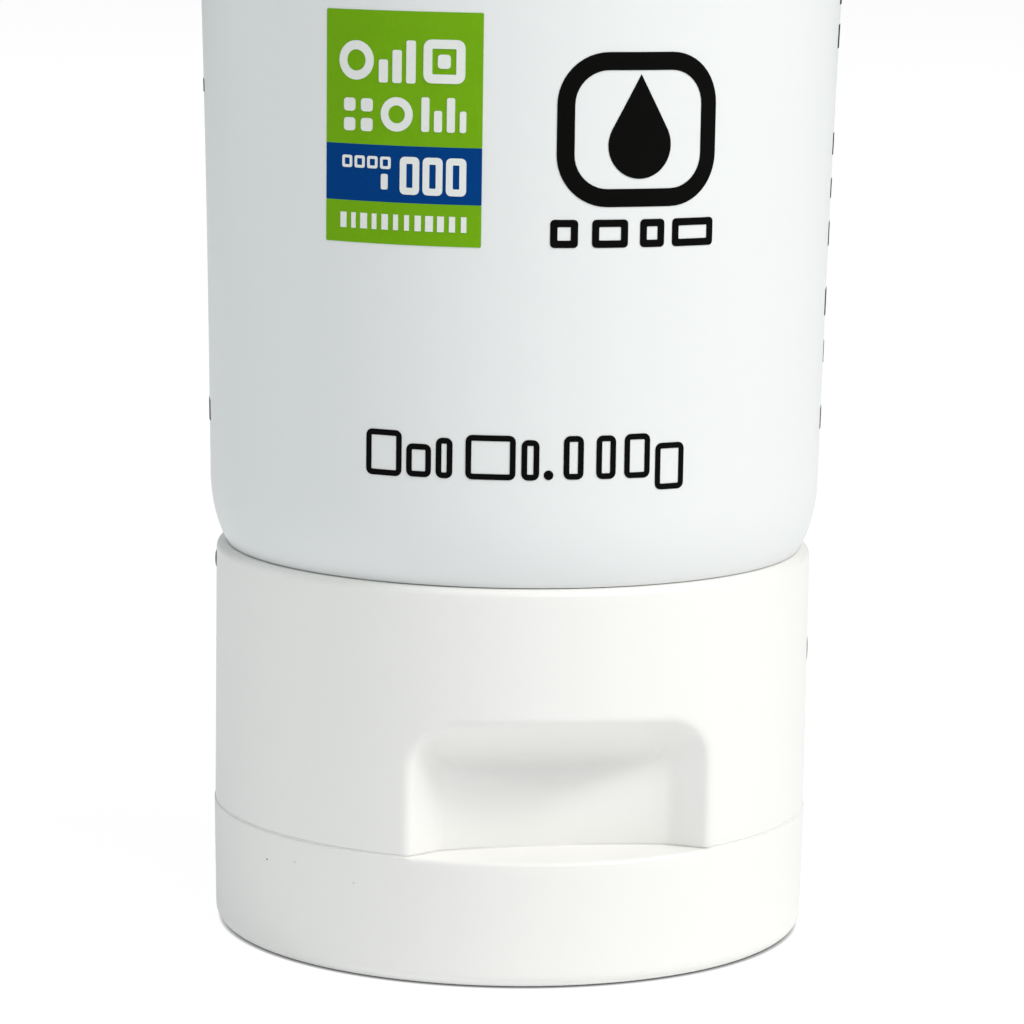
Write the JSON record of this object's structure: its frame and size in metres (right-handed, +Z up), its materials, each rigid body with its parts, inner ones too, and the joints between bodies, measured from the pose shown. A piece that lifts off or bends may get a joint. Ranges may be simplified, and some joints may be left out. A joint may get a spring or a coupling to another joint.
{
  "type": "grease tube",
  "caption": "White plastic squeeze tube of grease standing upright on a flush flip-top closure with a thumb recess and a living hinge.",
  "frame": {"origin": "middle of the standing face of the closed lid, on the axis of the closure", "axes": "+Z up along the tube towards its welded seal; -Y towards the thumb recess; +Y towards the hinge; +X to the right seen from the recess"},
  "size_m": [0.062, 0.0398, 0.175],
  "materials": {
    "tube_white": "satin white polyethylene film",
    "closure_white": "satin white moulded polypropylene",
    "ink_green": "printed green ink",
    "ink_blue": "printed blue ink",
    "ink_black": "printed black ink",
    "ink_white": "printed white ink"
  },
  "bodies": {
    "root": {"tube": "tube_white", "cap_base": "closure_white"},
    "lid": {"lid": "closure_white"}
  },
  "joints": [
    {"name": "lid_hinge", "type": "hinge", "parent": "root", "child": "lid", "pos_m": [0, 0.01976, 0.00816], "axis": [1, 0, 0], "range_deg": [0, 180]}
  ]
}
